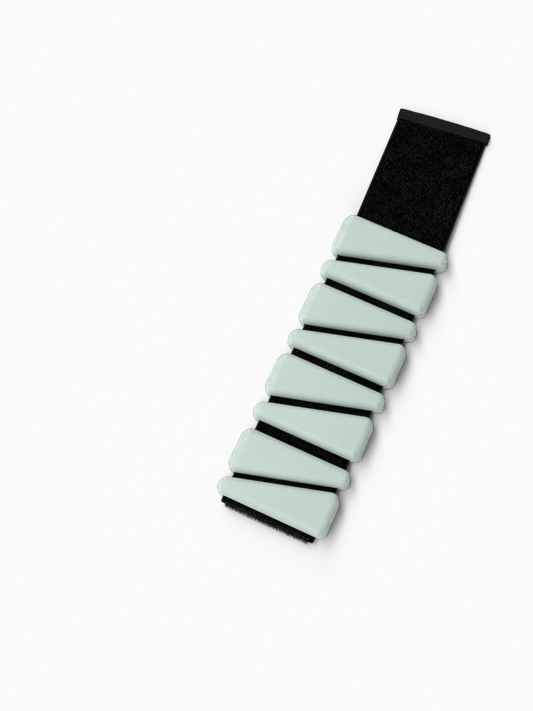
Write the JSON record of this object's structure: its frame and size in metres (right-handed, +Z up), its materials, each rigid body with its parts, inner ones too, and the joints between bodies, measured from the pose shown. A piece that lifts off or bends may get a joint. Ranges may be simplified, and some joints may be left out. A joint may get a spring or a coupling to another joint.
{
  "type": "ankle cuff weight",
  "caption": "Soft-covered steel wedges strung side by side on a wide elastic band, wrapped round an ankle or wrist and closed with hook-and-loop.",
  "frame": {"origin": "middle of the footprint of the cuff lying flat on its underside", "axes": "+X along the band towards the fastening tail, +Y across the band, +Z up through the wedges"},
  "size_m": [0.246, 0.0596, 0.0125],
  "materials": {
    "silicone": "matt sage green silicone, smooth and faintly dusty",
    "steel": "plain mild steel plate, sealed inside the silicone",
    "band": "black woven elastic with a short brushed loop pile and smooth selvedges",
    "binding": "dark charcoal ribbed binding tape",
    "thread": "black polyester sewing thread",
    "hook_tape": "black woven nylon tape base",
    "hook_pile": "dense black nylon hooks"
  },
  "bodies": {
    "link_1": {"band_link_1": "band"},
    "weight_1": {"weight_cover_1": "silicone", "steel_core_1": "steel"},
    "link_2": {"band_link_2": "band"},
    "weight_2": {"weight_cover_2": "silicone", "steel_core_2": "steel"},
    "link_3": {"band_link_3": "band"},
    "weight_3": {"weight_cover_3": "silicone", "steel_core_3": "steel"},
    "link_4": {"band_link_4": "band"},
    "weight_4": {"weight_cover_4": "silicone", "steel_core_4": "steel"},
    "link_5": {"band_link_5": "band"},
    "weight_5": {"weight_cover_5": "silicone", "steel_core_5": "steel"},
    "link_6": {"band_link_6": "band"},
    "weight_6": {"weight_cover_6": "silicone", "steel_core_6": "steel"},
    "link_7": {"band_link_7": "band"},
    "weight_7": {"weight_cover_7": "silicone", "steel_core_7": "steel"},
    "link_8": {"band_link_8": "band", "hook_tape": "hook_tape", "hook_pile": "hook_pile", "hook_stitching": "thread"},
    "weight_8": {"weight_cover_8": "silicone", "steel_core_8": "steel"},
    "tail_1": {"tail_band_1": "band"},
    "tail_2": {"tail_band_2": "band"},
    "tail_3": {"tail_band_3": "band"},
    "tail_4": {"tail_band_4": "band"},
    "tail_5": {"tail_band_5": "band", "hem_binding": "binding", "hem_stitching": "thread"}
  },
  "joints": [
    {"name": "bend_3_4", "type": "hinge", "parent": "link_4", "child": "link_3", "pos_m": [-0.01525, 0, 0.0044], "axis": [0, 1, 0], "range_deg": [-5, 14]},
    {"name": "bend_2_3", "type": "hinge", "parent": "link_3", "child": "link_2", "pos_m": [0.00581, 0, 0.0044], "axis": [0, 1, 0], "range_deg": [-15, 54.7]},
    {"name": "bend_1_2", "type": "hinge", "parent": "link_2", "child": "link_1", "pos_m": [0.02702, 0, 0.0044], "axis": [0, 1, 0], "range_deg": [-5, 14]},
    {"name": "bend_4_5", "type": "hinge", "parent": "link_4", "child": "link_5", "pos_m": [-0.03621, 0, 0.0044], "axis": [0, -1, 0], "range_deg": [-15, 54.7]},
    {"name": "bend_5_6", "type": "hinge", "parent": "link_5", "child": "link_6", "pos_m": [-0.05738, 0, 0.0044], "axis": [0, -1, 0], "range_deg": [-5, 14]},
    {"name": "bend_6_7", "type": "hinge", "parent": "link_6", "child": "link_7", "pos_m": [-0.07915, 0, 0.0044], "axis": [0, -1, 0], "range_deg": [-15, 54.7]},
    {"name": "bend_7_8", "type": "hinge", "parent": "link_7", "child": "link_8", "pos_m": [-0.10024, 0, 0.0044], "axis": [0, -1, 0], "range_deg": [-5, 14]},
    {"name": "tail_bend_1", "type": "hinge", "parent": "link_1", "child": "tail_1", "pos_m": [0.04879, 0, 0.0044], "axis": [-0.0436, 0.999, 0], "range_deg": [-20, 35.5]},
    {"name": "tail_bend_2", "type": "hinge", "parent": "tail_1", "child": "tail_2", "pos_m": [0.06177, 0.00057, 0.00388], "axis": [-0.0436, 0.999, 0], "range_deg": [-20, 26.1]},
    {"name": "tail_bend_3", "type": "hinge", "parent": "tail_2", "child": "tail_3", "pos_m": [0.07474, 0.00113, 0.00337], "axis": [-0.0436, 0.999, 0], "range_deg": [-20, 26.1]},
    {"name": "tail_bend_4", "type": "hinge", "parent": "tail_3", "child": "tail_4", "pos_m": [0.08772, 0.0017, 0.00285], "axis": [-0.0436, 0.999, 0], "range_deg": [-20, 26.1]},
    {"name": "tail_bend_5", "type": "hinge", "parent": "tail_4", "child": "tail_5", "pos_m": [0.1007, 0.00227, 0.00234], "axis": [-0.0436, 0.999, 0], "range_deg": [-20, 26.1]},
    {"name": "slide_1", "type": "slide", "parent": "link_1", "child": "weight_1", "axis": [1, 0, 0], "range_m": [-0.00175, 0.0016]},
    {"name": "slide_2", "type": "slide", "parent": "link_2", "child": "weight_2", "axis": [1, 0, 0], "range_m": [-0.00205, 0.00175]},
    {"name": "slide_3", "type": "slide", "parent": "link_3", "child": "weight_3", "axis": [1, 0, 0], "range_m": [-0.0016, 0.00205]},
    {"name": "slide_4", "type": "slide", "parent": "link_4", "child": "weight_4", "axis": [1, 0, 0], "range_m": [-0.00195, 0.0016]},
    {"name": "slide_5", "type": "slide", "parent": "link_5", "child": "weight_5", "axis": [1, 0, 0], "range_m": [-0.0018, 0.00195]},
    {"name": "slide_6", "type": "slide", "parent": "link_6", "child": "weight_6", "axis": [1, 0, 0], "range_m": [-0.00255, 0.0018]},
    {"name": "slide_7", "type": "slide", "parent": "link_7", "child": "weight_7", "axis": [1, 0, 0], "range_m": [-0.00115, 0.00255]},
    {"name": "slide_8", "type": "slide", "parent": "link_8", "child": "weight_8", "axis": [1, 0, 0], "range_m": [-0.0005, 0.00115]}
  ]
}
